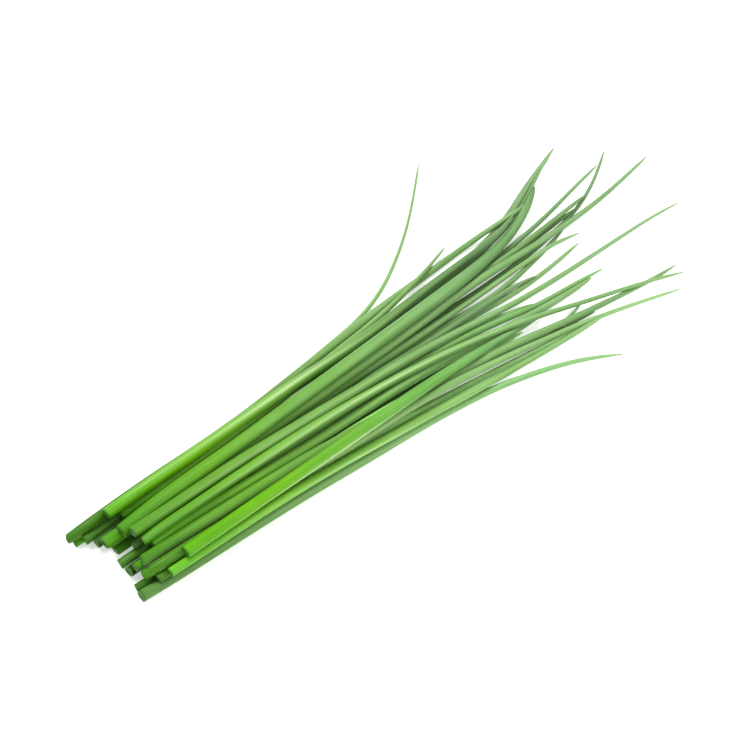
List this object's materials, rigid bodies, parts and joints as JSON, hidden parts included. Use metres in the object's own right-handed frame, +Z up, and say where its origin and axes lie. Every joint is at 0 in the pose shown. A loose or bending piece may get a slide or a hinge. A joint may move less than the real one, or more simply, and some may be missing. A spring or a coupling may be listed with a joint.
{
  "type": "bunch of fresh chives",
  "caption": "Loose bunch of fresh chives lying down: long thin hollow green leaves, trimmed square at one end and fanning out to fine tips at the other.",
  "frame": {"origin": "centre of the bunch's bounding box, on the surface that it lies on", "axes": "+X along the bunch from the trimmed ends to the tips, +Y across it, +Z up; seen from the trimmed ends, +Y is on the left"},
  "size_m": [0.2458, 0.1074, 0.014],
  "materials": {
    "green": "mid green leaf skin, satin",
    "deep_green": "deep green leaf skin, satin",
    "blue_green": "bluish green leaf skin with a thin bloom",
    "lime": "bright yellow-green leaf skin, satin",
    "pale_green": "pale green leaf skin, satin"
  },
  "bodies": {
    "root": {"leaf_01": "green", "leaf_02": "green", "leaf_03": "deep_green", "leaf_04": "deep_green", "leaf_05": "deep_green", "leaf_06": "green", "leaf_07": "deep_green", "leaf_08": "green", "leaf_09": "pale_green", "leaf_10": "deep_green", "leaf_31": "deep_green", "leaf_11": "deep_green", "leaf_12": "blue_green", "leaf_13": "green", "leaf_14": "green", "leaf_15": "green", "leaf_16": "green", "leaf_17": "lime", "leaf_18": "blue_green", "leaf_19": "pale_green", "leaf_20": "pale_green", "leaf_21": "green", "leaf_22": "green", "leaf_23": "green", "leaf_24": "blue_green", "leaf_25": "blue_green", "leaf_26": "green", "leaf_27": "pale_green", "leaf_28": "lime", "leaf_29": "lime", "leaf_30": "green"}
  },
  "joints": []
}
